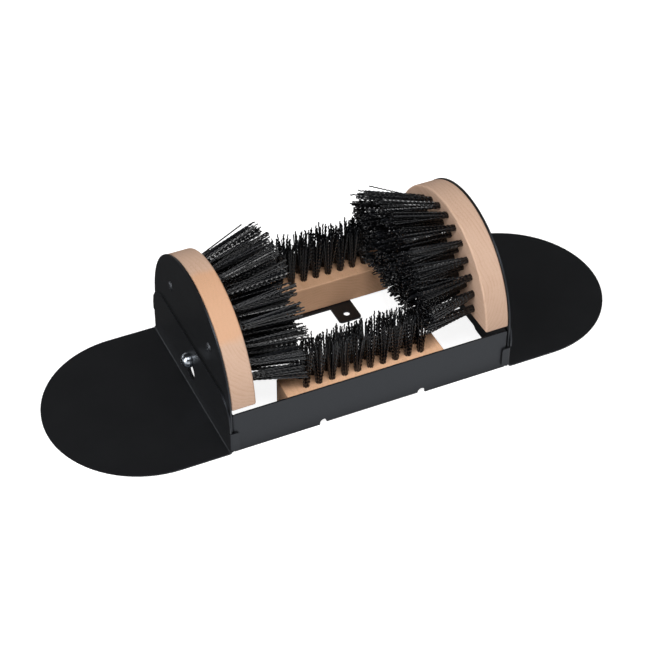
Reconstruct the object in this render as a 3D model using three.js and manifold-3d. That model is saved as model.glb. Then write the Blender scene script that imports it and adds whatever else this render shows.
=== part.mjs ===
// Boot scraper: a folded sheet steel frame with two standing side brushes, two lower brushes
// and a tread plate hooked on at each end. Millimetres, +Z up. The origin is on the floor
// under the middle of the frame, +X runs to the right tread plate and -Y to the front rail.

import * as THREE from 'three';
import { mergeVertices } from 'three/addons/utils/BufferGeometryUtils.js';
import Module from 'manifold-3d';

const wasm = await Module();
wasm.setup();

// Frame
const sheet = 1.5;
const bendRadius = 1;
const frameLength = 266;
const frameDepth = 177;
const railHeight = 42;
const railCornerRadius = 4;
const earLength = 61;
const earCornerRadius = 9;
const archHeight = 130.5;

// Folded flange under each lower brush, with its tab for a floor screw
const flangeLength = 87;
const flangeWidth = 41.8;
const reliefWidth = 7;
const reliefHeight = 5.5;
const tabWidth = 22;
const tabReach = 22;
const tabCornerRadius = 3;
const tabHoleRadius = 3;
const tabHoleInset = 10;

// Tread plates
const treadLength = 136;
const treadFlangeHeight = 56;
const treadFlangeRadius = 25;
const hookLength = 7;
const hookTop = 22.5;
const hookBottom = 2.5;
const hookCornerRadius = 2.5;
const hookRelief = 1.5;
const slideGap = 0.3;

// Keyhole in each end plate and tread flange, and the machine screw that goes through both
const keyholeRadius = 9.5;
const keyholeSlotWidth = 6.8;
const liftTravel = 12;
const treadScrewZ = 35;
const treadScrewRadius = 3;
const treadScrewHeadRadius = 7;
const treadScrewHeadHeight = 8;
const treadScrewHeadRim = 2;
const treadScrewEnd = 1.6;
const nutAcrossFlats = 10;
const nutThickness = 5;
const washerRadius = 6.5;
const washerThickness = 1.6;
const threadGap = 0.3;
const headRecess = { width: 1.4, depth: 3.2 };

// Side brushes
const sideBlockThickness = 22.5;
const sideBlockInset = 0.5;
const sideBlockBottom = 46;
const sliceThickness = 2;
const channelWidth = 105;
const tuftPitch = 15.4;
const tuftMargin = 25;
const tuftTopMargin = 9;
const lowestTuftRise = 10;
const sideTuftRows = 5;
const sideTuftRowPitch = 14;
const fanDistance = 170;

// Lower brushes
const blockLength = 150;
const blockDepth = 31.5;
const blockHeight = 29.5;
const lowerTuftCount = 10;
const lowerTuftPitch = 12.2;
const lowerTuftRows = [12.5, 24.8];
const lowerBristleLength = 43;
const blockGap = 5.5;
const rearBrushShift = 7.9;
const edgeEase = 1.5;

// Bristles
const strandRadius = 0.8;
const strandsPerTuft = 3;
const strandSpacing = 1.7;
const strandSpread = 1.6;
const strandRoot = 1;
const strandUneven = 3;
const strandGap = 0.5;

// Wood screws
const sideScrew = { head: 4.6, rise: 1.5, crown: 2.8, cone: 2.8, shank: 2, length: 18, point: 4 };
const blockScrew = { head: 3.5, rise: 0, crown: 0, cone: 2.2, shank: 1.75, length: 20, point: 4 };
const crownDrop = 0.3;
const screwRecess = { length: 4.2, width: 0.9, depth: 1.2 };
const sideScrewSpread = 44;
const sideScrewHeight = 84;
const blockScrewSpread = 30;
const screwGap = 0.3;
const floorGap = 0.2;

// Rounding of curves, in steps, and the share of a half width that a full rounding takes
const archSteps = 20;
const cornerSteps = 4;
const holeSides = 24;
const screwSides = 16;
const fullRound = 0.999;

// Mixing numbers of the strands' steady unevenness
const unevenTuft = 12.9898;
const unevenStrand = 78.233;

// Places that follow from the sizes above
const outerBend = bendRadius + sheet;
const endX = frameLength / 2;
const plateInnerX = endX - sheet;
const railY = frameDepth / 2;
const archRadius = railY;
const archCentreZ = archHeight - archRadius;
const blockFaceX = plateInnerX - sideBlockThickness;
const sideBristleLength = blockFaceX - channelWidth / 2;
const sideBlockRadius = archRadius - sideBlockInset;
const fanCentreZ = sideBlockBottom + lowestTuftRise;
const outerRowHalfWidth = sideBlockRadius - tuftMargin;
const outerRowRise = archHeight - sideBlockInset - tuftTopMargin - fanCentreZ;
const flangeX = endX + slideGap + sheet;
const treadY = railY + slideGap + sheet;
const keyholeZ = treadScrewZ - liftTravel;
const blockRearOffset = railY - sheet - blockGap;
const tuftEdge = strandSpacing * (1 + strandSpread) + strandRadius;
const lowerTuftEdge = ((lowerTuftCount - 1) / 2) * lowerTuftPitch + tuftEdge;
const lowerTipZ = sheet + blockHeight + lowerBristleLength;
const innerRowY = blockRearOffset - Math.max(...lowerTuftRows) - tuftEdge;

function solid(geometry) {
  const bare = geometry.index ? geometry.toNonIndexed() : geometry.clone();
  bare.deleteAttribute('normal');
  bare.deleteAttribute('uv');
  const merged = mergeVertices(bare, 1e-5);
  const corners = merged.attributes.position;
  const triangles = [];
  let volume = 0;
  for (let i = 0; i < merged.index.count; i += 3) {
    const [a, b, c] = merged.index.array.slice(i, i + 3);
    if (a === b || b === c || c === a) continue;
    triangles.push([a, b, c]);
    const [p, q, r] = [a, b, c].map((n) => new THREE.Vector3().fromBufferAttribute(corners, n));
    volume += p.dot(q.cross(r));
  }
  const outward = volume < 0 ? triangles.map(([a, b, c]) => [a, c, b]) : triangles;
  return new wasm.Manifold(new wasm.Mesh({
    numProp: 3,
    vertProperties: new Float32Array(corners.array),
    triVerts: new Uint32Array(outward.flat()),
  }));
}

function geometryOf(body) {
  const mesh = body.getMesh();
  const geometry = new THREE.BufferGeometry();
  geometry.setAttribute('position', new THREE.BufferAttribute(mesh.vertProperties, 3));
  geometry.setIndex(new THREE.BufferAttribute(mesh.triVerts, 1));
  geometry.computeVertexNormals();
  return geometry;
}

// A closed outline from corners [x, y, radius, steps], each corner rounded where it has a radius.
function outline(corners) {
  const points = [];
  corners.forEach(([x, y, radius = 0, steps = cornerSteps], i) => {
    const corner = new THREE.Vector2(x, y);
    if (radius === 0) {
      points.push(corner);
      return;
    }
    const [beforeX, beforeY] = corners.at(i - 1);
    const [afterX, afterY] = corners[(i + 1) % corners.length];
    const before = new THREE.Vector2(beforeX - x, beforeY - y).normalize();
    const after = new THREE.Vector2(afterX - x, afterY - y).normalize();
    const half = Math.acos(before.dot(after)) / 2;
    const middle = before.clone().add(after).normalize();
    const centre = corner.clone().addScaledVector(middle, radius / Math.sin(half));
    const reach = radius / Math.tan(half);
    const first = corner.clone().addScaledVector(before, reach).sub(centre).angle();
    const last = corner.clone().addScaledVector(after, reach).sub(centre).angle();
    const turn = THREE.MathUtils.euclideanModulo(last - first + Math.PI, 2 * Math.PI) - Math.PI;
    for (let k = 0; k <= steps; k += 1) {
      const angle = first + (turn * k) / steps;
      points.push(new THREE.Vector2(radius, 0).rotateAround(new THREE.Vector2(), angle).add(centre));
    }
  });
  return new THREE.Shape(points);
}

function circle(x, y, radius, sides = holeSides) {
  const points = [];
  for (let k = 0; k < sides; k += 1) {
    const angle = (2 * Math.PI * k) / sides;
    points.push(new THREE.Vector2(x + radius * Math.cos(angle), y + radius * Math.sin(angle)));
  }
  return new THREE.Shape(points);
}

// Extrusions of an outline drawn in XY, YZ or XZ, between two places on the third axis.
function alongZ(shape, from, to) {
  const geometry = new THREE.ExtrudeGeometry(shape, { depth: to - from, bevelEnabled: false });
  return solid(geometry.translate(0, 0, from));
}

function alongX(shape, from, to) {
  const geometry = new THREE.ExtrudeGeometry(shape, { depth: to - from, bevelEnabled: false });
  const turn = new THREE.Matrix4().set(0, 0, 1, from, 1, 0, 0, 0, 0, 1, 0, 0, 0, 0, 0, 1);
  return solid(geometry.applyMatrix4(turn));
}

function alongY(shape, from, to) {
  const geometry = new THREE.ExtrudeGeometry(shape, { depth: to - from, bevelEnabled: false });
  const turn = new THREE.Matrix4().set(1, 0, 0, 0, 0, 0, -1, to, 0, 1, 0, 0, 0, 0, 0, 1);
  return solid(geometry.applyMatrix4(turn));
}

// A turned body from [radius, height] points. Its axis points along +X or +Z.
function turned(profile, axis, sides = screwSides) {
  const points = profile.map(([radius, height]) => new THREE.Vector2(radius, height));
  const geometry = new THREE.LatheGeometry(points, sides);
  if (axis === 'x') geometry.rotateZ(-Math.PI / 2);
  if (axis === 'z') geometry.rotateX(Math.PI / 2);
  return solid(geometry);
}

// The frame's arch: upright sides with a half-round top, drawn in YZ from the floor.
function archOutline(radius) {
  const top = archCentreZ + radius;
  return outline([
    [-radius, 0], [radius, 0], [radius, top, radius, archSteps], [-radius, top, radius, archSteps],
  ]);
}

// The keyhole is cut through both sheets: a round hole that the screw head passes,
// and above it a narrow slot that holds the shank.
function keyhole() {
  const half = keyholeSlotWidth / 2;
  const slotTop = treadScrewZ + half;
  const round = half * fullRound;
  const outer = -flangeX - sheet;
  const inner = -plateInnerX + sheet;
  const slot = alongX(outline([
    [-half, keyholeZ], [half, keyholeZ], [half, slotTop, round], [-half, slotTop, round],
  ]), outer, inner);
  return slot.add(alongX(circle(0, keyholeZ, keyholeRadius), outer, inner));
}

// Countersunk wood screw pointing along its axis, with its head's edge at height 0.
function screwProfile({ head, rise, crown, cone, shank, length, point }, slack = 0) {
  let top = [[0, 0]];
  if (rise > 0) top = [[0, -rise], [crown, -rise + crownDrop]];
  if (slack > 0) top = [[0, -rise - 1], [head + slack, -rise - 1]];
  return [
    ...top, [head + slack, 0], [shank + slack, cone], [shank + slack, length - point],
    [0, length + slack],
  ];
}

function crossRecess(armLength, armWidth, depth, top, axis) {
  const arms = [[armLength, armWidth], [armWidth, armLength]].map(([wide, high]) => {
    const arm = outline([
      [-wide / 2, -high / 2], [wide / 2, -high / 2], [wide / 2, high / 2], [-wide / 2, high / 2],
    ]);
    return axis === 'x' ? alongX(arm, top - 1, top + depth) : alongZ(arm, top - 1, top + depth);
  });
  return arms[0].add(arms[1]);
}

function woodScrew(screw, axis) {
  const { length, width, depth } = screwRecess;
  const recess = crossRecess(length, width, depth + screw.rise, -screw.rise, axis);
  return turned(screwProfile(screw), axis).subtract(recess);
}

function sideScrewPlaces() {
  return [-1, 1].map((side) => [-endX, side * sideScrewSpread, sideScrewHeight]);
}

function blockScrewPlaces() {
  return [-1, 1].map((side) => [side * blockScrewSpread, 0, floorGap]);
}

// Rail: one sheet with a long face, two ears folded in behind the end plates and, between
// two bend reliefs, a flange folded in under the brush block.
function makeRail() {
  const end = plateInnerX;
  const earEnd = -railY + earLength;
  const inside = -railY + sheet;
  const channel = alongZ(outline([
    [-end, earEnd], [-end, -railY, outerBend], [end, -railY, outerBend], [end, earEnd],
    [end - sheet, earEnd], [end - sheet, inside, bendRadius],
    [-end + sheet, inside, bendRadius], [-end + sheet, earEnd],
  ]), 0, railHeight);
  const frontView = alongY(outline([
    [-end, 0], [end, 0], [end, railHeight, railCornerRadius], [-end, railHeight, railCornerRadius],
  ]), -railY - 1, earEnd + 1);
  const sideView = alongX(outline([
    [-railY - 1, 0], [earEnd, 0, earCornerRadius], [earEnd, railHeight, earCornerRadius],
    [-railY - 1, railHeight],
  ]), -end - 1, end + 1);
  const half = flangeLength / 2;
  const reliefs = [-1, 1].map((side) => {
    const near = side * half;
    const far = side * (half + reliefWidth);
    const radius = (reliefWidth / 2) * fullRound;
    return alongY(outline([
      [near, -1], [far, -1], [far, reliefHeight, radius], [near, reliefHeight, radius],
    ]), -railY - 1, inside + 1);
  });
  const foldCut = alongX(outline([
    [-railY - 1, -1], [inside + 1, -1], [inside + 1, outerBend], [-railY - 1, outerBend],
  ]), -half, half);
  const flangeEdge = -railY + flangeWidth;
  const flange = alongX(outline([
    [-railY, 0, outerBend], [flangeEdge, 0], [flangeEdge, sheet], [inside, sheet, bendRadius],
    [inside, reliefHeight], [-railY, reliefHeight],
  ]), -half, half);
  const tabEnd = flangeEdge + tabReach;
  const tab = alongZ(outline([
    [-half, flangeEdge - sheet], [-half + tabWidth, flangeEdge - sheet],
    [-half + tabWidth, tabEnd, tabCornerRadius], [-half, tabEnd, tabCornerRadius],
  ]), 0, sheet);
  const hole = circle(-half + tabWidth / 2, tabEnd - tabHoleInset, tabHoleRadius);
  let rail = channel.intersect(frontView).intersect(sideView);
  for (const relief of reliefs) rail = rail.subtract(relief);
  rail = rail.subtract(foldCut).add(flange).add(tab).subtract(alongZ(hole, -1, sheet + 1));
  for (const [x, , z] of blockScrewPlaces()) {
    const cutter = turned(screwProfile(blockScrew, screwGap), 'z');
    rail = rail.subtract(cutter.translate([x, -blockRearOffset + blockDepth / 2, z]));
  }
  return rail;
}

function makeEndPlate() {
  let plate = alongX(archOutline(archRadius), -endX, -plateInnerX).subtract(keyhole());
  for (const place of sideScrewPlaces()) {
    plate = plate.subtract(turned(screwProfile(sideScrew, screwGap), 'x').translate(place));
  }
  return plate;
}

// Side block outline in YZ: the arch, cut off level above the rails.
function sideBlockOutline() {
  const rise = sideBlockBottom - archCentreZ;
  const start = Math.asin(rise / sideBlockRadius);
  const points = [];
  const steps = 2 * archSteps;
  for (let k = 0; k <= steps; k += 1) {
    const angle = start + ((Math.PI - 2 * start) * k) / steps;
    points.push(new THREE.Vector2(
      sideBlockRadius * Math.cos(angle), archCentreZ + sideBlockRadius * Math.sin(angle),
    ));
  }
  return new THREE.Shape(points);
}

function makeSideBlock() {
  let block = alongX(sideBlockOutline(), -plateInnerX, -blockFaceX - sliceThickness);
  for (const place of sideScrewPlaces()) {
    block = block.subtract(turned(screwProfile(sideScrew, screwGap), 'x').translate(place));
  }
  return block;
}

// The block screws keep their places in the flange, also where a block sits off the middle.
function makeLowerBlock(shift) {
  const top = sheet + blockHeight - sliceThickness;
  const block = alongX(outline([
    [0, sheet, edgeEase], [blockDepth, sheet, edgeEase], [blockDepth, top], [0, top],
  ]), -blockLength / 2, blockLength / 2);
  return blockScrewPlaces().reduce((body, [x, , z]) => body.subtract(
    turned(screwProfile(blockScrew, screwGap), 'z').translate([x - shift, blockDepth / 2, z]),
  ), block);
}

// One strand: a three-sided prism from its root, a little inside the wood, to its tip.
function addStrand(corners, root, tip) {
  const along = tip.clone().sub(root).normalize();
  const side = new THREE.Vector3(along.z, along.x, along.y).cross(along).normalize();
  const ring = [0, 1, 2].map((k) => side.clone().applyAxisAngle(along, (2 * Math.PI * k) / 3));
  const [low, high] = [root, tip].map((end) => ring.map(
    (spoke) => end.clone().addScaledVector(spoke, strandRadius),
  ));
  for (let k = 0; k < 3; k += 1) {
    const next = (k + 1) % 3;
    corners.push(low[k], low[next], high[next], low[k], high[next], high[k]);
  }
  corners.push(low[0], low[2], low[1], ...high);
}

// Small steady unevenness between -1 and 1, the same for the same strand every time.
function uneven(tuft, strand) {
  return Math.sin(tuft * unevenTuft + strand * unevenStrand);
}

// All strands of one brush. place(tuft, offset, length) gives a point of a strand.
function strands(tufts, lengthOf, place) {
  const corners = [];
  tufts.forEach((tuft, i) => {
    const length = lengthOf(tuft);
    for (let k = 0; k < strandsPerTuft; k += 1) {
      const angle = (2 * Math.PI * k) / strandsPerTuft + i;
      const offset = new THREE.Vector2(strandSpacing, 0).rotateAround(new THREE.Vector2(), angle);
      const reach = length - (strandUneven / 2) * (1 + uneven(i, k));
      addStrand(corners, place(tuft, offset, -strandRoot), place(tuft, offset, reach));
    }
  });
  const geometry = new THREE.BufferGeometry().setFromPoints(corners);
  return solid(geometry);
}

// Tufts stand on arches round the middle of the block's lowest row.
function sideTufts() {
  const tufts = [];
  for (let row = 0; row < sideTuftRows; row += 1) {
    const halfWidth = outerRowHalfWidth - row * sideTuftRowPitch;
    const rise = outerRowRise - row * sideTuftRowPitch;
    const steps = Math.round((Math.PI * (halfWidth + rise)) / 2 / tuftPitch);
    for (let k = 0; k <= steps; k += 1) {
      const angle = (Math.PI * k) / steps;
      tufts.push(new THREE.Vector2(halfWidth * Math.cos(angle), rise * Math.sin(angle)));
    }
  }
  return tufts;
}

// A point of a side strand. The tufts fan out from a line well behind the block.
function sidePoint(tuft, offset, length) {
  const fan = 1 + length / fanDistance;
  const spread = fan + (strandSpread * length) / sideBristleLength;
  return new THREE.Vector3(
    -blockFaceX + length, tuft.x * fan + offset.x * spread,
    fanCentreZ + tuft.y * fan + offset.y * spread,
  );
}

// The low outer tufts are trimmed short of the lower brushes that they would run into. The
// rear brush sits nearer the right end, so room is how much further away the lower brush is.
function sideLength(tuft, room) {
  const tip = sidePoint(tuft, new THREE.Vector2(), sideBristleLength);
  const edge = tuftEdge * (1 + sideBristleLength / fanDistance);
  const meets = tip.z - edge < lowerTipZ && Math.abs(tip.y) + edge > innerRowY;
  const trimmed = blockFaceX - lowerTuftEdge - strandGap + room;
  return meets ? Math.min(sideBristleLength, trimmed) : sideBristleLength;
}

function makeSideBristles(end) {
  const slice = alongX(sideBlockOutline(), -blockFaceX - sliceThickness, -blockFaceX);
  const room = { left: rearBrushShift, right: -rearBrushShift }[end];
  const isRear = (tuft) => (end === 'left' ? tuft.x > 0 : tuft.x < 0);
  const lengthOf = (tuft) => sideLength(tuft, isRear(tuft) ? room : 0);
  return slice.add(strands(sideTufts(), lengthOf, sidePoint));
}

function makeLowerBristles() {
  const top = sheet + blockHeight;
  const bottom = top - sliceThickness;
  const slice = alongX(outline([
    [0, bottom], [blockDepth, bottom], [blockDepth, top, edgeEase], [0, top, edgeEase],
  ]), -blockLength / 2, blockLength / 2);
  const tufts = lowerTuftRows.flatMap((y) => Array.from({ length: lowerTuftCount }, (_, k) => (
    new THREE.Vector2((k - (lowerTuftCount - 1) / 2) * lowerTuftPitch, y)
  )));
  const place = (tuft, offset, length) => {
    const spread = 1 + (strandSpread * length) / lowerBristleLength;
    return new THREE.Vector3(tuft.x + offset.x * spread, tuft.y + offset.y * spread, top + length);
  };
  return slice.add(strands(tufts, () => lowerBristleLength, place));
}

// Tread plate: the floor plate folds up into a flange, whose ends fold round both rails.
function makeTreadPlate() {
  const tip = -endX - slideGap - treadLength;
  const inner = -flangeX + sheet;
  const folded = alongY(outline([
    [tip, 0], [inner, 0, outerBend], [inner, treadFlangeHeight], [-flangeX, treadFlangeHeight],
    [-flangeX, sheet, bendRadius], [tip, sheet],
  ]), -treadY, treadY);
  const round = treadY * fullRound;
  const planView = alongZ(outline([
    [inner, -treadY], [inner, treadY], [tip, treadY, round, archSteps],
    [tip, -treadY, round, archSteps],
  ]), -1, treadFlangeHeight + 1);
  const endView = alongX(outline([
    [-treadY, 0], [treadY, 0], [treadY, treadFlangeHeight, treadFlangeRadius],
    [-treadY, treadFlangeHeight, treadFlangeRadius],
  ]), tip - 1, inner + 1);
  let plate = folded.intersect(planView).intersect(endView).subtract(keyhole());
  for (const side of [-1, 1]) {
    const edge = side * treadY;
    const bendStart = side * (treadY - outerBend);
    const hookEnd = -endX + hookLength;
    const cut = alongX(outline([
      [bendStart, hookBottom], [edge + side, hookBottom],
      [edge + side, hookTop + hookRelief], [bendStart, hookTop + hookRelief],
    ]), -flangeX - 1, inner + 1);
    const hook = alongZ(outline([
      [-flangeX, bendStart - side], [-flangeX, edge, outerBend], [hookEnd, edge],
      [hookEnd, edge - side * sheet], [inner, edge - side * sheet, bendRadius],
      [inner, bendStart - side],
    ]), hookBottom, hookTop);
    const hookView = alongY(outline([
      [-flangeX - 1, hookBottom], [hookEnd, hookBottom, hookCornerRadius],
      [hookEnd, hookTop, hookCornerRadius], [-flangeX - 1, hookTop],
    ]), -treadY - 1, treadY + 1);
    plate = plate.subtract(cut).add(hook.intersect(hookView));
  }
  return plate;
}

function makeTreadScrew() {
  const seat = flangeX + threadGap;
  const end = plateInnerX - washerThickness - nutThickness - treadScrewEnd;
  const domeHeight = treadScrewHeadHeight - treadScrewHeadRim;
  const dome = [];
  for (let k = 0; k <= cornerSteps; k += 1) {
    const angle = (Math.PI / 2) * (k / cornerSteps);
    const height = -treadScrewHeadRim - domeHeight * Math.cos(angle);
    dome.push([treadScrewHeadRadius * Math.sin(angle), height]);
  }
  const profile = [
    ...dome, [treadScrewHeadRadius, 0], [treadScrewRadius, 0],
    [treadScrewRadius, seat - end], [0, seat - end],
  ];
  const { width, depth } = headRecess;
  const recess = crossRecess(treadScrewHeadRadius, width, depth, -treadScrewHeadHeight, 'x');
  return turned(profile, 'x', holeSides).subtract(recess).translate([-seat, 0, treadScrewZ]);
}

function ring(shape, from, to) {
  const bore = alongX(circle(0, treadScrewZ, treadScrewRadius + threadGap), from - 1, to + 1);
  return alongX(shape, from, to).subtract(bore);
}

function makeWasher() {
  return ring(circle(0, treadScrewZ, washerRadius), -plateInnerX, -plateInnerX + washerThickness);
}

function makeNut() {
  const radius = nutAcrossFlats / 2 / Math.cos(Math.PI / 6);
  const start = -plateInnerX + washerThickness;
  return ring(circle(0, treadScrewZ, radius, 6), start, start + nutThickness);
}

const finishes = {
  steel: { color: 0x1d1e20, roughness: 0.5, metalness: 0.1 },
  beech: { color: 0xd8b28c, roughness: 0.65, metalness: 0 },
  bristle: { color: 0x101011, roughness: 0.35, metalness: 0 },
  zinc: { color: 0xc9cdd2, roughness: 0.25, metalness: 1 },
  blackScrew: { color: 0x2b2c2f, roughness: 0.4, metalness: 0.8 },
};

const bootScraper = new THREE.Group();

function addPiece(name, body, finish, place = [0, 0, 0], turnedRound = false) {
  const piece = new THREE.Mesh(geometryOf(body), new THREE.MeshStandardMaterial(finishes[finish]));
  piece.name = name;
  piece.position.set(...place);
  if (turnedRound) piece.rotation.z = Math.PI;
  bootScraper.add(piece);
}

const rail = makeRail();
addPiece('front_rail', rail, 'steel');
addPiece('rear_rail', rail, 'steel', [0, 0, 0], true);

const sidePieces = {
  end_plate: [makeEndPlate(), 'steel'],
  side_block: [makeSideBlock(), 'beech'],
  tread_plate: [makeTreadPlate(), 'steel'],
  tread_screw: [makeTreadScrew(), 'zinc'],
  tread_washer: [makeWasher(), 'zinc'],
  tread_nut: [makeNut(), 'zinc'],
};
for (const [name, [body, finish]] of Object.entries(sidePieces)) {
  addPiece(`left_${name}`, body, finish);
  addPiece(`right_${name}`, body, finish, [0, 0, 0], true);
}
addPiece('left_side_bristles', makeSideBristles('left'), 'bristle');
addPiece('right_side_bristles', makeSideBristles('right'), 'bristle', [0, 0, 0], true);

const sideWoodScrew = woodScrew(sideScrew, 'x');
const [frontPlace, rearPlace] = sideScrewPlaces();
addPiece('left_front_side_screw', sideWoodScrew, 'blackScrew', frontPlace);
addPiece('left_rear_side_screw', sideWoodScrew, 'blackScrew', rearPlace);
const rightFrontPlace = [endX, ...frontPlace.slice(1)];
const rightRearPlace = [endX, ...rearPlace.slice(1)];
addPiece('right_front_side_screw', sideWoodScrew, 'blackScrew', rightFrontPlace, true);
addPiece('right_rear_side_screw', sideWoodScrew, 'blackScrew', rightRearPlace, true);

const lowerBristles = makeLowerBristles();
const blockWoodScrew = woodScrew(blockScrew, 'z');
const lowerBrushes = {
  front: [0, -blockRearOffset], rear: [rearBrushShift, blockRearOffset - blockDepth],
};
for (const [name, [shift, y]] of Object.entries(lowerBrushes)) {
  addPiece(`${name}_brush_block`, makeLowerBlock(shift), 'beech', [shift, y, 0]);
  addPiece(`${name}_bristles`, lowerBristles, 'bristle', [shift, y, 0]);
  blockScrewPlaces().forEach(([x, , z], i) => {
    const side = ['left', 'right'][i];
    addPiece(`${name}_${side}_block_screw`, blockWoodScrew, 'zinc', [x, y + blockDepth / 2, z]);
  });
}

export default bootScraper;
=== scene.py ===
import math
import bpy
import bmesh
import numpy as np
from mathutils import Matrix, Vector


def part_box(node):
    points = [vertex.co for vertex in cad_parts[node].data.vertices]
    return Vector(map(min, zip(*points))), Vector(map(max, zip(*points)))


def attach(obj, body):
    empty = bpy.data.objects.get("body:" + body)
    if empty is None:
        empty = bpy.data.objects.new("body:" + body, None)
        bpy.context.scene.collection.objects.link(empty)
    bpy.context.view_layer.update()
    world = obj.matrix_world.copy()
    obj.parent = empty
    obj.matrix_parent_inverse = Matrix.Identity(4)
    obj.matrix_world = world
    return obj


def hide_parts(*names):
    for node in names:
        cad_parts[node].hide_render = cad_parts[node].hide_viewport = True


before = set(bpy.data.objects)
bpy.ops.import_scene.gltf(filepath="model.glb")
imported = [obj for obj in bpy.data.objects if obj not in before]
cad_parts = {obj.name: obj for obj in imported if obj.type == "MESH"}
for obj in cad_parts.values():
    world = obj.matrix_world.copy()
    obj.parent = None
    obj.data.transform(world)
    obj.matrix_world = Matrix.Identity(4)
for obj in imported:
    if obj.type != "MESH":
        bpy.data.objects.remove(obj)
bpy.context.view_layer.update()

mm = 0.001

# Camera at the photograph's angle, worked out from the frame's straight edges
camera = {
    "location": (-0.55656, -1.19709, 1.16513),
    "lookAt": (0.007555, 0.033719, 0.0),
    "rollDegrees": 0.038,
    "lens": 108.85,
    "sensor": 36,
    "clip": (0.05, 50),
}


def makeCamera(values):
    data = bpy.data.cameras.new("photoCamera")
    data.lens = values["lens"]
    data.sensor_width = values["sensor"]
    data.clip_start, data.clip_end = values["clip"]
    cam = bpy.data.objects.new("photoCamera", data)
    bpy.context.scene.collection.objects.link(cam)
    place = Vector(values["location"])
    ahead = (Vector(values["lookAt"]) - place).normalized()
    right = ahead.cross(Vector((0, 0, 1))).normalized()
    up = right.cross(ahead)
    roll = math.radians(values["rollDegrees"])
    rolledRight = right * math.cos(roll) + up * math.sin(roll)
    rolledUp = up * math.cos(roll) - right * math.sin(roll)
    turn = Matrix((rolledRight, rolledUp, -ahead)).transposed().to_4x4()
    cam.matrix_world = Matrix.Translation(place) @ turn
    bpy.context.scene.camera = cam


makeCamera(camera)
print("camera made")


# Shared helpers for materials
def toLinear(hexColour):
    parts = [int(hexColour[i:i + 2], 16) / 255 for i in (1, 3, 5)]
    return [p / 12.92 if p <= 0.04045 else ((p + 0.055) / 1.055) ** 2.4 for p in parts] + [1]


# Adds one node. A keyword names an input, with _ for a space, or gives its number after i. A
# tuple (node, output) links it and any other value sets it. On a Mix node input 0 is the factor,
# 2 and 3 are its numbers and 6 and 7 its colours.
def addNode(tree, kind, settings=None, **inputs):
    node = tree.nodes.new(kind)
    for name, value in (settings or {}).items():
        setattr(node, name, value)
    for key, value in inputs.items():
        numbered = key[1:].isdigit()
        socket = node.inputs[int(key[1:]) if numbered else key.replace("_", " ")]
        if isinstance(value, tuple) and len(value) == 2 and hasattr(value[0], "outputs"):
            tree.links.new(value[0].outputs[value[1]], socket)
        else:
            socket.default_value = value
    return node


def newMaterial(name):
    material = bpy.data.materials.new(name)
    material.use_nodes = True
    material.node_tree.nodes.clear()
    return material, material.node_tree


def surface(tree, shader):
    addNode(tree, "ShaderNodeOutputMaterial", Surface=(shader, 0))


def rampOf(tree, source, stops):
    ramp = addNode(tree, "ShaderNodeValToRGB", Fac=source)
    elements = ramp.color_ramp.elements
    while len(elements) < len(stops):
        elements.new(0.5)
    for element, (position, colour) in zip(elements, stops):
        element.position = position
        element.color = colour if isinstance(colour, list) else [colour] * 3 + [1]
    return ramp


# Powder-coated sheet steel: an even satin black whose fine orange peel softens every mirror image
powderCoat = {
    "colour": "#121213", "paler": "#161617", "patchSize": 40, "patchLow": 0.3, "patchHigh": 0.75,
    "roughness": 0.36, "rougher": 0.44, "glossTint": "#E6F0FF",
    "peelSize": 0.9, "peelDepth": 0.012, "peelStrength": 0.35,
}


def makePowderCoat(values):
    material, tree = newMaterial("satinBlackPowderCoatedSteel")
    where = addNode(tree, "ShaderNodeTexCoord")
    peel = addNode(tree, "ShaderNodeTexNoise", Vector=(where, "Object"),
                   Scale=1 / (values["peelSize"] * mm), Detail=2.0, Roughness=0.5)
    patch = addNode(tree, "ShaderNodeTexNoise", Vector=(where, "Object"),
                    Scale=1 / (values["patchSize"] * mm), Detail=3.0, Roughness=0.6)
    colour = rampOf(tree, (patch, "Fac"), [
        (values["patchLow"], toLinear(values["colour"])),
        (values["patchHigh"], toLinear(values["paler"]))])
    rough = addNode(tree, "ShaderNodeMapRange", Value=(peel, "Fac"), From_Min=0.3, From_Max=0.7,
                    To_Min=values["roughness"], To_Max=values["rougher"])
    bump = addNode(tree, "ShaderNodeBump", Height=(peel, "Fac"), Strength=values["peelStrength"],
                   Distance=values["peelDepth"] * mm)
    shader = addNode(tree, "ShaderNodeBsdfPrincipled", Base_Color=(colour, "Color"),
                     Roughness=(rough, "Result"), Normal=(bump, "Normal"), IOR=1.5)
    shader.inputs["Specular Tint"].default_value = toLinear(values["glossTint"])
    surface(tree, shader)
    return material


# Planed beech: matt pink-brown wood with fine growth rings round a heart along Y, short dark ray
# flecks and, on the left block, a warm orange patch round a place given by its Y and Z
beech = {
    "pale": "#CAAA94", "ring": "#B9957B", "warm": "#D09F7A", "ray": "#AE886C",
    "ringWidth": 3.1, "ringWander": 12.0, "wanderSize": (28, 90), "heart": (72, 0, 92),
    "ringFaint": 0.2, "ringStrong": 0.6, "fadeSize": (9, 60),
    "warmPlace": (0, 0), "warmReach": 20, "warmFade": 10, "warmEdge": 14, "warmth": 0.0,
    "raySize": (0.28, 2.4), "rayFrom": 0.62, "rayFull": 0.74, "rayDepth": 0.55,
    "fibreSize": (0.5, 30), "fibreDepth": 0.02, "fibreStrength": 0.3,
    "roughness": 0.6, "rougher": 0.72,
}
# Share of dark late wood from the start to the end of one ring
ringSteps = [(0.0, 0.1), (0.5, 0.3), (0.9, 1.0), (1.0, 0.1)]
leftBeechTone = {"heart": (-92, 0, 108), "warmPlace": (-37, 122), "warmReach": 29,
                 "warmth": 0.75}
# The lower blocks stand in the shade of the brushes: their pale and ring colours are painted paler
# and warmer, painted light that stands in for light they don't get. Their heart also lies lower.
lowerBeechPaintedLightAndHeart = {"pale": "#EABA95", "ring": "#D6A47B", "heart": (10, 0, -60)}


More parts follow.
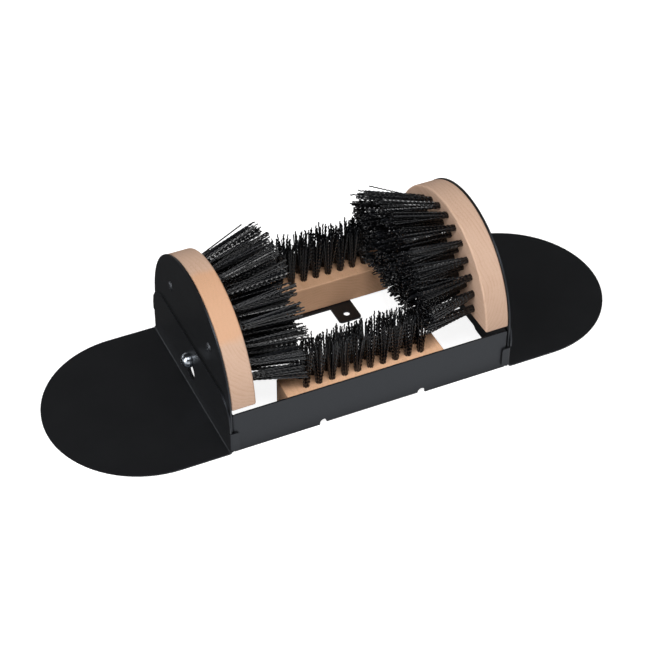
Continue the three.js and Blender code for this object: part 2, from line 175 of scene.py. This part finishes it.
def makeBeech(name, values):
    material, tree = newMaterial(name)
    where = addNode(tree, "ShaderNodeTexCoord")
    moved = addNode(tree, "ShaderNodeVectorMath", {"operation": "SUBTRACT"}, i0=(where, "Object"),
                    i1=[v * mm for v in values["heart"]])

    def stretched(size, detail):
        across, along = size
        mapped = addNode(tree, "ShaderNodeMapping", Vector=(moved, 0), Scale=[
            1 / (across * mm), 1 / (along * mm), 1 / (across * mm)])
        return addNode(tree, "ShaderNodeTexNoise", Vector=(mapped, 0), Scale=1.0, Detail=detail)

    # Rings: the distance from the heart line, which wanders slowly along the board
    wander = stretched(values["wanderSize"], 2.0)
    flat = addNode(tree, "ShaderNodeVectorMath", {"operation": "MULTIPLY"}, i0=(moved, 0),
                   i1=[1, 0, 1])
    reach = addNode(tree, "ShaderNodeVectorMath", {"operation": "LENGTH"}, i0=(flat, 0))
    shift = addNode(tree, "ShaderNodeMath", {"operation": "MULTIPLY_ADD"}, i0=(wander, "Fac"),
                    i1=values["ringWander"] * mm, i2=(reach, "Value"))
    turns = addNode(tree, "ShaderNodeMath", {"operation": "DIVIDE"}, i0=(shift, 0),
                    i1=values["ringWidth"] * mm)
    phase = addNode(tree, "ShaderNodeMath", {"operation": "FRACT"}, i0=(turns, 0))
    fade = addNode(tree, "ShaderNodeMapRange", Value=(stretched(values["fadeSize"], 1.0), "Fac"),
                   From_Min=0.35, From_Max=0.65, To_Min=values["ringFaint"],
                   To_Max=values["ringStrong"])
    steps = rampOf(tree, (phase, 0), ringSteps)
    rings = addNode(tree, "ShaderNodeMath", {"operation": "MULTIPLY"}, i0=(steps, "Color"),
                    i1=(fade, 0))
    base = addNode(tree, "ShaderNodeMix", {"data_type": "RGBA"}, i0=(rings, 0),
                   i6=toLinear(values["pale"]), i7=toLinear(values["ring"]))
    # Warm patch, with a wandering edge
    fromPatch = addNode(tree, "ShaderNodeVectorMath", {"operation": "SUBTRACT"},
                        i0=(where, "Object"), i1=[0] + [v * mm for v in values["warmPlace"]])
    sideways = addNode(tree, "ShaderNodeVectorMath", {"operation": "MULTIPLY"},
                       i0=(fromPatch, 0), i1=[0, 1, 1])
    span = addNode(tree, "ShaderNodeVectorMath", {"operation": "LENGTH"}, i0=(sideways, 0))
    uneven = addNode(tree, "ShaderNodeMath", {"operation": "MULTIPLY_ADD"}, i0=(wander, "Fac"),
                     i1=values["warmEdge"] * mm, i2=(span, "Value"))
    near = values["warmReach"] + values["warmEdge"] / 2
    cloudy = addNode(tree, "ShaderNodeMapRange", {"interpolation_type": "SMOOTHSTEP"},
                     Value=(uneven, 0), From_Min=near * mm,
                     From_Max=(near + values["warmFade"]) * mm, To_Min=values["warmth"],
                     To_Max=0.0)
    warmed = addNode(tree, "ShaderNodeMix", {"data_type": "RGBA"}, i0=(cloudy, 0),
                     i6=(base, 2), i7=toLinear(values["warm"]))
    # Rays: short dashes along the grain
    rays = stretched(values["raySize"], 0.0)
    dashes = rampOf(tree, (rays, "Fac"), [
        (values["rayFrom"], 0.0), (values["rayFull"], values["rayDepth"])])
    rayed = addNode(tree, "ShaderNodeMix", {"data_type": "RGBA"}, i0=(dashes, "Color"),
                    i6=(warmed, 2), i7=toLinear(values["ray"]))
    # Fibres: too fine to see one by one, they make the gloss uneven
    fibre = stretched(values["fibreSize"], 2.0)
    rough = addNode(tree, "ShaderNodeMapRange", Value=(fibre, "Fac"), To_Min=values["roughness"],
                    To_Max=values["rougher"])
    bump = addNode(tree, "ShaderNodeBump", Height=(fibre, "Fac"), Strength=values["fibreStrength"],
                   Distance=values["fibreDepth"] * mm)
    shader = addNode(tree, "ShaderNodeBsdfPrincipled", Base_Color=(rayed, 2),
                     Roughness=(rough, 0), Normal=(bump, "Normal"), IOR=1.45)
    surface(tree, shader)
    return material


# Polypropylene bristle: extruded and crimped, so a glossy black strand glints once a wave
bristlePlastic = {"colour": "#08080A", "paler": "#1A1C20", "palerFrom": 0.35,
                  "roughness": 0.11, "rougher": 0.29}


def makeBristlePlastic(values):
    material, tree = newMaterial("crimpedBlackPolypropylene")
    geometry = addNode(tree, "ShaderNodeNewGeometry")
    colour = rampOf(tree, (geometry, "Random Per Island"), [
        (values["palerFrom"], toLinear(values["colour"])), (1.0, toLinear(values["paler"]))])
    rough = addNode(tree, "ShaderNodeMapRange", Value=(geometry, "Random Per Island"),
                    To_Min=values["roughness"], To_Max=values["rougher"])
    shader = addNode(tree, "ShaderNodeBsdfPrincipled", Base_Color=(colour, "Color"),
                     Roughness=(rough, 0), IOR=1.56)
    surface(tree, shader)
    return material


# Plated steel: bright zinc on the machine and block screws is a cool mirror with faint clouds,
# black zinc on the side screws a dark grey sheen
plating = {
    "brightZincPlatedSteel": {"colour": "#B9BFC6", "darker": "#989FA8", "cloudSize": 2.5,
                              "roughness": 0.12, "rougher": 0.27},
    "blackZincPlatedSteel": {"colour": "#74777C", "darker": "#4A4C50", "cloudSize": 2.5,
                             "roughness": 0.33, "rougher": 0.48},
}


def makePlated(name, values):
    material, tree = newMaterial(name)
    where = addNode(tree, "ShaderNodeTexCoord")
    cloud = addNode(tree, "ShaderNodeTexNoise", Vector=(where, "Object"),
                    Scale=1 / (values["cloudSize"] * mm), Detail=3.0)
    colour = rampOf(tree, (cloud, "Fac"), [
        (0.35, toLinear(values["colour"])), (0.7, toLinear(values["darker"]))])
    rough = addNode(tree, "ShaderNodeMapRange", Value=(cloud, "Fac"),
                    To_Min=values["roughness"], To_Max=values["rougher"])
    shader = addNode(tree, "ShaderNodeBsdfPrincipled", Base_Color=(colour, "Color"), Metallic=1.0,
                     Roughness=(rough, 0))
    surface(tree, shader)
    return material


coat = makePowderCoat(powderCoat)
bristle = makeBristlePlastic(bristlePlastic)
zinc = makePlated("brightZincPlatedSteel", plating["brightZincPlatedSteel"])
blackZinc = makePlated("blackZincPlatedSteel", plating["blackZincPlatedSteel"])
leftBeech = makeBeech("planedBeechLeft", {**beech, **leftBeechTone})
rightBeech = makeBeech("planedBeechRight", beech)
# The lower blocks' beech is painted paler and warmer, as painted light in their shade
lowerBeech = makeBeech("planedBeechLowerPaintedPale", {**beech, **lowerBeechPaintedLightAndHeart})
print("materials made")


# Places a piece in the scene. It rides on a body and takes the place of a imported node.
def linkPiece(name, mesh, material, body, node):
    piece = bpy.data.objects.new(name, mesh)
    bpy.context.scene.collection.objects.link(piece)
    mesh.materials.clear()
    mesh.materials.append(material)
    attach(piece, body)
    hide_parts(node)
    return piece


def smoothByAngle(mesh, degrees):
    mesh.shade_smooth()
    mesh.set_sharp_from_angle(angle=math.radians(degrees))


def roundEdges(piece, width, segments, degrees):
    bevel = piece.modifiers.new("roundedEdges", "BEVEL")
    bevel.width = width * mm
    bevel.segments = segments
    bevel.limit_method = "ANGLE"
    bevel.angle_limit = math.radians(degrees)
    bevel.harden_normals = True
    bevel.use_clamp_overlap = True


# Metal pieces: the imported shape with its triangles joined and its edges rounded
metal = {"steelEdge": 0.3, "screwEdge": 0.15, "joinDegrees": 0.6, "joinGap": 0.001,
         "smoothDegrees": 30, "edgeSegments": 2}


def refined(node, name, material, body, edge):
    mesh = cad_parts[node].data.copy()
    mesh.name = name
    work = bmesh.new()
    work.from_mesh(mesh)
    bmesh.ops.remove_doubles(work, verts=work.verts, dist=metal["joinGap"] * mm)
    bmesh.ops.dissolve_limit(work, angle_limit=math.radians(metal["joinDegrees"]),
                             verts=work.verts, edges=work.edges)
    work.to_mesh(mesh)
    work.free()
    smoothByAngle(mesh, metal["smoothDegrees"])
    piece = linkPiece(name, mesh, material, body, node)
    roundEdges(piece, edge, metal["edgeSegments"], metal["smoothDegrees"])


for side in ("front", "rear"):
    refined(f"{side}_rail", f"{side}RailSheet", coat, "frame", metal["steelEdge"])
for side in ("left", "right"):
    refined(f"{side}_end_plate", f"{side}EndSheet", coat, "frame", metal["steelEdge"])
    refined(f"{side}_tread_plate", f"{side}TreadSheet", coat, f"{side}_tread",
            metal["steelEdge"])
    refined(f"{side}_tread_screw", f"{side}MachineScrew", zinc, f"{side}_clamp_screw",
            metal["screwEdge"])
    for end in ("front", "rear"):
        refined(f"{side}_{end}_side_screw", f"{side}{end.title()}SideScrew", blackZinc, "frame",
                metal["screwEdge"])
for node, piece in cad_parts.items():
    if node.endswith(("washer", "nut", "block_screw")):
        for materialSlot in piece.material_slots:
            materialSlot.material = zinc
print("metal made")

# Wood blocks: an arch against each end plate and a straight bar on each rail, edges broken by hand
sideBlock = {"edge": 1.8, "edgeSegments": 3, "edgeDegrees": 40, "smoothDegrees": 30,
             "arcSteps": 120, "thickness": 22.5, "plateX": 131.5, "radius": 88, "centreZ": 42,
             "bottom": 46}
lowerBlock = {"edge": 1.5, "edgeSegments": 3, "edgeDegrees": 40, "smoothDegrees": 30, "top": 31}


def finishBlock(name, work, material, node, values):
    mesh = bpy.data.meshes.new(name)
    work.to_mesh(mesh)
    work.free()
    smoothByAngle(mesh, values["smoothDegrees"])
    piece = linkPiece(name, mesh, material, "frame", node)
    roundEdges(piece, values["edge"], values["edgeSegments"], values["edgeDegrees"])


def makeSideBlock(side, values, material):
    sign = -1 if side == "left" else 1
    start = math.asin((values["bottom"] - values["centreZ"]) / values["radius"])
    turns = np.linspace(start, math.pi - start, values["arcSteps"])
    rim = np.stack([values["radius"] * np.cos(turns),
                    values["centreZ"] + values["radius"] * np.sin(turns)], 1)
    work = bmesh.new()
    outer, inner = values["plateX"], values["plateX"] - values["thickness"]
    rings = [[work.verts.new((sign * x * mm, y * mm, z * mm)) for y, z in rim]
             for x in (outer, inner)]
    for ring in rings:
        work.faces.new(ring)
    for i in range(len(rim)):
        j = (i + 1) % len(rim)
        work.faces.new([rings[0][i], rings[0][j], rings[1][j], rings[1][i]])
    bmesh.ops.recalc_face_normals(work, faces=work.faces)
    finishBlock(f"{side}BrushBack", work, material, f"{side}_side_block", values)


def makeLowerBlock(side, values, material):
    low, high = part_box(f"{side}_brush_block")
    work = bmesh.new()
    bmesh.ops.create_cube(work, size=1)
    for vert in work.verts:
        vert.co = Vector((low.x if vert.co.x < 0 else high.x, low.y if vert.co.y < 0 else high.y,
                          low.z if vert.co.z < 0 else values["top"] * mm))
    finishBlock(f"{side}BrushBack", work, material, f"{side}_brush_block", values)


makeSideBlock("left", sideBlock, leftBeech)
makeSideBlock("right", sideBlock, rightBeech)
makeLowerBlock("front", lowerBlock, lowerBeech)
makeLowerBlock("rear", lowerBlock, lowerBeech)
print("wood made")

# Bristles: every strand is a crimped thread. Most are smooth, some have hard edges and glint.
# A real strand is about 0.8 mm thick and a tuft has some 45 of them. They are drawn thicker and
# fewer, so that each one still shows.
strand = {
    "thickness": 1.3, "tuftRings": [1, 6, 12], "ringPitch": 1.22,
    "fullRings": [1, 6, 12, 18], "fullPitch": 0.9, "jitter": 0.12, "root": 3, "uneven": 1.7,
    "bundled": 2, "drift": 1.4, "lean": 0.7, "strayShare": 0.008, "strayDrift": 5,
    "waveLength": 4.2, "waveHeight": 0.34, "waveMix": 0.7, "waveStart": 3, "ringsPerWave": 5,
    "flatShare": 0.4,
}
# Side brushes: arches of tufts that fan out from the block. Low outer tufts are trimmed where
# they would meet the lower brushes, and the lowest tufts have more strands.
sideTufts = {
    "face": 109, "length": 56, "fan": 240, "centreZ": 56, "halfWidth": 63, "rise": 65,
    "rows": 5, "rowPitch": 14, "pitch": 15.4, "spread": 1.0, "innerSpread": 1.9,
    "trimmed": 50, "trimBelow": 78, "trimFrom": 44, "trimTo": {"left": 82, "right": 76},
    "fullBelow": 20, "fullMore": 8, "frontLift": {"left": 1.5, "right": 10},
    "seed": {"left": 11, "right": 111}, "strayWaves": 14,
    "strays": {"left": [], "right": [
        ((111, 35, 108), (60, 49, 129)),
        ((111, 55, 100), (50, 67, 110)),
    ]},
}
lowerTufts = {
    "top": 31, "length": 43, "count": 10, "pitch": 12.2, "rows": [12.5, 24.8], "spread": 1.5,
    "seed": {"front": 29, "rear": 129},
}


# Builds the strands of one piece, as four-sided rods closed at both ends, from their centre
# lines, an array of strands by rings by 3
def strandMesh(name, lines):
    count, rings, _ = lines.shape
    along = np.gradient(lines, axis=1)
    along /= np.linalg.norm(along, axis=2, keepdims=True)
    start = along[:, :1] * np.ones((1, rings, 1))
    helper = np.zeros_like(start)
    smallest = np.argmin(np.abs(start[:, 0]), axis=1)
    helper[np.arange(count), :, smallest] = 1
    side = np.cross(along, helper)
    side /= np.linalg.norm(side, axis=2, keepdims=True)
    up = np.cross(side, along)
    half = strand["thickness"] / 2
    chance = np.random.default_rng(count)
    roll = chance.uniform(0, math.pi / 2, (count, 1, 1))
    corners = np.stack([lines + half * (side * np.cos(a + roll) + up * np.sin(a + roll))
                        for a in np.arange(4) * math.pi / 2], 2)
    verts = corners.reshape(-1, 3) * mm
    base = (np.arange(count) * rings * 4)[:, None, None] + (np.arange(rings - 1) * 4)[None, :, None]
    a = base + np.arange(4)[None, None]
    b = base + ((np.arange(4) + 1) % 4)[None, None]
    quads = np.stack([b, a, a + 4, b + 4], 3).reshape(-1, 4)
    first = (np.arange(count) * rings * 4)[:, None]
    last = first + (rings - 1) * 4
    caps = np.concatenate([first + np.array([[0, 1, 2, 3]]), last + np.array([[3, 2, 1, 0]])])
    faces = np.concatenate([quads, caps]).astype(np.int32)
    mesh = bpy.data.meshes.new(name)
    mesh.vertices.add(len(verts))
    mesh.vertices.foreach_set("co", verts.astype(np.float32).ravel())
    mesh.loops.add(faces.size)
    mesh.loops.foreach_set("vertex_index", faces.ravel())
    mesh.polygons.add(len(faces))
    mesh.polygons.foreach_set("loop_start", np.arange(0, faces.size, 4, dtype=np.int32))
    flat = chance.random(count) < strand["flatShare"]
    smooth = np.concatenate([np.repeat(~flat, (rings - 1) * 4), np.zeros(2 * count, bool)])
    mesh.polygons.foreach_set("use_smooth", smooth)
    mesh.update(calc_edges=True)
    mesh.validate()
    return mesh


# Places of the strands across a tuft: one in the middle and rings of them round it
def tuftPlaces(counts, pitch):
    places = []
    for ring, count in enumerate(counts):
        for k in range(count):
            turn = 2 * math.pi * k / count
            places.append([ring * pitch * math.cos(turn), ring * pitch * math.sin(turn)])
    return np.array(places)


# Centre lines of the strands of some tufts. place(tuft, shift, t) gives the points, full says
# which tufts have more strands.
def strandLines(tufts, reaches, spread, place, seed, full):
    chance = np.random.default_rng(seed)
    usual = tuftPlaces(strand["tuftRings"], strand["ringPitch"])
    many = tuftPlaces(strand["fullRings"], strand["fullPitch"])
    longest = max(reaches)
    rings = int(round(longest / strand["waveLength"] * strand["ringsPerWave"]))
    lines = []
    for tuft, reach, fuller in zip(tufts, reaches, full):
        turn = chance.uniform(0, 2 * math.pi)
        turned = np.array([[math.cos(turn), math.sin(turn)], [-math.sin(turn), math.cos(turn)]])
        phase, bend = chance.uniform(0, 2 * math.pi), chance.uniform(0, math.pi)
        lean = chance.normal(0, strand["lean"], 2)
        for offset in (many if fuller else usual) @ turned:
            offset = offset + chance.normal(0, strand["jitter"], 2)
            t = np.linspace(-strand["root"], reach - abs(chance.normal(0, strand["uneven"])), rings)
            loose = np.clip((t - strand["bundled"]) / (longest - strand["bundled"]), 0, 1)
            stray = strand["strayDrift"] if chance.random() < strand["strayShare"] else 1
            drift = chance.normal(0, strand["drift"], 2) * stray + lean
            shift = offset[None] * (1 + spread * loose[:, None]) + drift[None] * loose[:, None]
            waveTurn = bend + chance.normal(0, strand["waveMix"])
            started = np.clip(t / strand["waveStart"], 0, 1)
            wave = strand["waveHeight"] * started * np.sin(
                2 * math.pi * t / strand["waveLength"] + phase + chance.normal(0, strand["waveMix"]))
            shift = shift + wave[:, None] * np.array([[math.cos(waveTurn), math.sin(waveTurn)]])
            lines.append(place(tuft, shift, t))
    return np.array(lines)


def linkStrands(name, lines, node):
    linkPiece(name, strandMesh(name, lines), bristle, "frame", node)


# Places of the tufts of one arch, from one end to the other
def sideRow(values, row):
    halfWidth = values["halfWidth"] - row * values["rowPitch"]
    rise = values["rise"] - row * values["rowPitch"]
    steps = round(math.pi * (halfWidth + rise) / 2 / values["pitch"])
    return [(halfWidth * math.cos(math.pi * k / steps), rise * math.sin(math.pi * k / steps))
            for k in range(steps + 1)]


def makeSideStrands(side, values):
    sign = -1 if side == "left" else 1

    # The lowest front tuft is bent up a little
    def place(tuft, shift, t):
        fan = 1 + t / values["fan"]
        y = -sign * tuft[0] * fan + shift[:, 0]
        front = abs(tuft[0]) == values["halfWidth"] and -sign * tuft[0] < 0
        lift = values["frontLift"][side] / values["length"] * t if front else 0
        return np.stack([sign * (values["face"] - t), y,
                         values["centreZ"] + tuft[1] * fan + shift[:, 1] + lift], 1)

    def reachOf(tuft):
        fan = 1 + values["length"] / values["fan"]
        low = values["centreZ"] + tuft[1] * fan < values["trimBelow"]
        short = low and values["trimFrom"] < abs(tuft[0] * fan) < values["trimTo"][side]
        return values["trimmed"] if short else values["length"]

    for row in range(values["rows"]):
        tufts = sideRow(values, row)
        spread = values["innerSpread"] if row else values["spread"]
        fullBelow = values["fullBelow"] + row * values["fullMore"]
        lines = strandLines(tufts, [reachOf(t) for t in tufts], spread, place,
                            values["seed"][side] + row, [t[1] < fullBelow for t in tufts])
        linkStrands(f"{side}BrushRow{row + 1}", lines, f"{side}_side_bristles")

    # Single strands that stand out of the tufts, from root to tip
    if values["strays"][side]:
        ends = np.array(values["strays"][side], float)
        waves = values["strayWaves"]
        t = np.linspace(0, 1, strand["ringsPerWave"] * waves)[None, :, None]
        lines = ends[:, :1] * (1 - t) + ends[:, 1:] * t
        lines[:, :, 2] += strand["waveHeight"] * np.sin(2 * math.pi * waves * t[:, :, 0])
        linkStrands(f"{side}BrushStrays", lines, f"{side}_side_bristles")


def makeLowerStrands(side, values):
    low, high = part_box(f"{side}_brush_block")
    middle = (low.x + high.x) / 2 / mm

    def place(tuft, shift, t):
        return np.stack([middle + tuft[0] + shift[:, 0], low.y / mm + tuft[1] + shift[:, 1],
                         values["top"] + t], 1)

    for row, y in enumerate(values["rows"]):
        tufts = [((k - (values["count"] - 1) / 2) * values["pitch"], y)
                 for k in range(values["count"])]
        lines = strandLines(tufts, [values["length"]] * len(tufts), values["spread"], place,
                            values["seed"][side] + row, [False] * len(tufts))
        linkStrands(f"{side}BrushRow{row + 1}", lines, f"{side}_bristles")


for side in ("left", "right"):
    makeSideStrands(side, sideTufts)
for side in ("front", "rear"):
    makeLowerStrands(side, lowerTufts)
print("bristles made")

# Floor and light. The floor is a matt pale studio table, a hair below the feet.
floorValues = {"size": 30, "colour": "#B4B4B4", "glow": 0.88, "drop": 0.2,
               "glossFront": 1.0, "glossRear": 0.05, "glossFrom": -105, "glossTo": -72,
               "glossInside": 0.5, "insideX": 90, "insideY": 45, "insideFade": 12}
lights = {
    "key": {"place": (0.5, -1.5, 2.3), "size": 0.6, "watts": 13},
    "top": {"place": (-0.45, -1.3, 2.45), "size": 1.0, "watts": 30},
    "right": {"place": (1.5, -1.4, 1.5), "size": 0.5, "watts": 9},
    "leftHigh": {"place": (-1.7, -0.8, 1.9), "size": 1.0, "watts": 20},
    "leftLow": {"place": (-2.4, -0.9, 1.0), "size": 1.8, "watts": 35},
    "rearLeft": {"place": (-1.6, 1.7, 0.8), "size": 0.8, "watts": 5},
}
worldValues = {"light": 0.11, "horizon": 0.8, "sky": 0.02, "horizonTop": 0.1, "skyFrom": 0.45}


# 1 where a ray of the camera, a gloss or a clear piece looks, and 0 where light falls
def sightOf(tree):
    path = addNode(tree, "ShaderNodeLightPath")
    first = addNode(tree, "ShaderNodeMath", {"operation": "MAXIMUM"}, i0=(path, "Is Camera Ray"),
                    i1=(path, "Is Glossy Ray"))
    return addNode(tree, "ShaderNodeMath", {"operation": "MAXIMUM"}, i0=(first, 0),
                   i1=(path, "Is Transmission Ray"))


# Seen directly the floor is white and keeps the shadows. In gloss it is white in front of the
# object and inside the frame, and dark behind it like a table that ends there.
def makeFloor(values):
    material, tree = newMaterial("paleStudioFloor")
    path = addNode(tree, "ShaderNodeLightPath")
    where = addNode(tree, "ShaderNodeTexCoord")
    split = addNode(tree, "ShaderNodeSeparateXYZ", Vector=(where, "Object"))
    table = addNode(tree, "ShaderNodeMapRange", {"interpolation_type": "SMOOTHSTEP"},
                    Value=(split, "Y"), From_Min=values["glossFrom"] * mm,
                    From_Max=values["glossTo"] * mm, To_Min=values["glossFront"],
                    To_Max=values["glossRear"])
    inside = None
    for axis, reach in (("X", values["insideX"]), ("Y", values["insideY"])):
        away = addNode(tree, "ShaderNodeMath", {"operation": "ABSOLUTE"}, i0=(split, axis))
        near = addNode(tree, "ShaderNodeMapRange", Value=(away, 0), From_Min=reach * mm,
                       From_Max=(reach + values["insideFade"]) * mm, To_Min=1.0, To_Max=0.0)
        inside = addNode(tree, "ShaderNodeMath", {"operation": "MULTIPLY"}, i0=(near, 0),
                         i1=(inside, 0) if inside else values["glossInside"])
    mirrored = addNode(tree, "ShaderNodeMath", {"operation": "MAXIMUM"}, i0=(table, 0),
                       i1=(inside, 0))
    strength = addNode(tree, "ShaderNodeMath", {"operation": "MULTIPLY"}, i0=(sightOf(tree), 0),
                       i1=values["glow"])
    glow = addNode(tree, "ShaderNodeEmission", Strength=(strength, 0))
    matt = addNode(tree, "ShaderNodeBsdfDiffuse", Color=toLinear(values["colour"]))
    direct = addNode(tree, "ShaderNodeAddShader", i0=(matt, 0), i1=(glow, 0))
    gloss = addNode(tree, "ShaderNodeEmission", Strength=(mirrored, 0))
    both = addNode(tree, "ShaderNodeMixShader", Fac=(path, "Is Glossy Ray"), i1=(direct, 0),
                   i2=(gloss, 0))
    surface(tree, both)
    half = values["size"] / 2
    mesh = bpy.data.meshes.new("studioFloor")
    z = -values["drop"] * mm
    mesh.from_pydata([(-half, -half, z), (half, -half, z), (half, half, z), (-half, half, z)], [],
                     [(0, 1, 2, 3)])
    mesh.materials.append(material)
    floor = bpy.data.objects.new("studioFloor", mesh)
    bpy.context.scene.collection.objects.link(floor)


def makeLights(values):
    for name, one in values.items():
        data = bpy.data.lights.new(name, "AREA")
        data.size = one["size"]
        data.energy = one["watts"]
        lamp = bpy.data.objects.new(name, data)
        bpy.context.scene.collection.objects.link(lamp)
        lamp.location = one["place"]
        lamp.rotation_euler = (-Vector(one["place"])).to_track_quat("-Z", "Y").to_euler()


# The world lights the object evenly. Seen directly or in gloss it is white at the horizon.
def makeWorld(values):
    world = bpy.data.worlds.new("studioWorld")
    world.use_nodes = True
    tree = world.node_tree
    tree.nodes.clear()
    where = addNode(tree, "ShaderNodeTexCoord")
    split = addNode(tree, "ShaderNodeSeparateXYZ", Vector=(where, "Generated"))
    height = addNode(tree, "ShaderNodeMapRange", Value=(split, "Z"),
                     From_Min=values["horizonTop"], From_Max=values["skyFrom"],
                     To_Min=values["horizon"], To_Max=values["sky"])
    path = addNode(tree, "ShaderNodeLightPath")
    direct = addNode(tree, "ShaderNodeMix", {"data_type": "FLOAT"}, i0=(path, "Is Camera Ray"),
                     i2=(height, 0), i3=1.0)
    seen = sightOf(tree)
    strength = addNode(tree, "ShaderNodeMix", {"data_type": "FLOAT"}, i0=(seen, 0),
                       i2=values["light"], i3=(direct, 0))
    glow = addNode(tree, "ShaderNodeBackground", Color=[1, 1, 1, 1], Strength=(strength, 0))
    addNode(tree, "ShaderNodeOutputWorld", Surface=(glow, 0))
    bpy.context.scene.world = world


makeFloor(floorValues)
makeLights(lights)
makeWorld(worldValues)
bpy.context.scene.view_settings.view_transform = "Standard"
print("floor and light made")
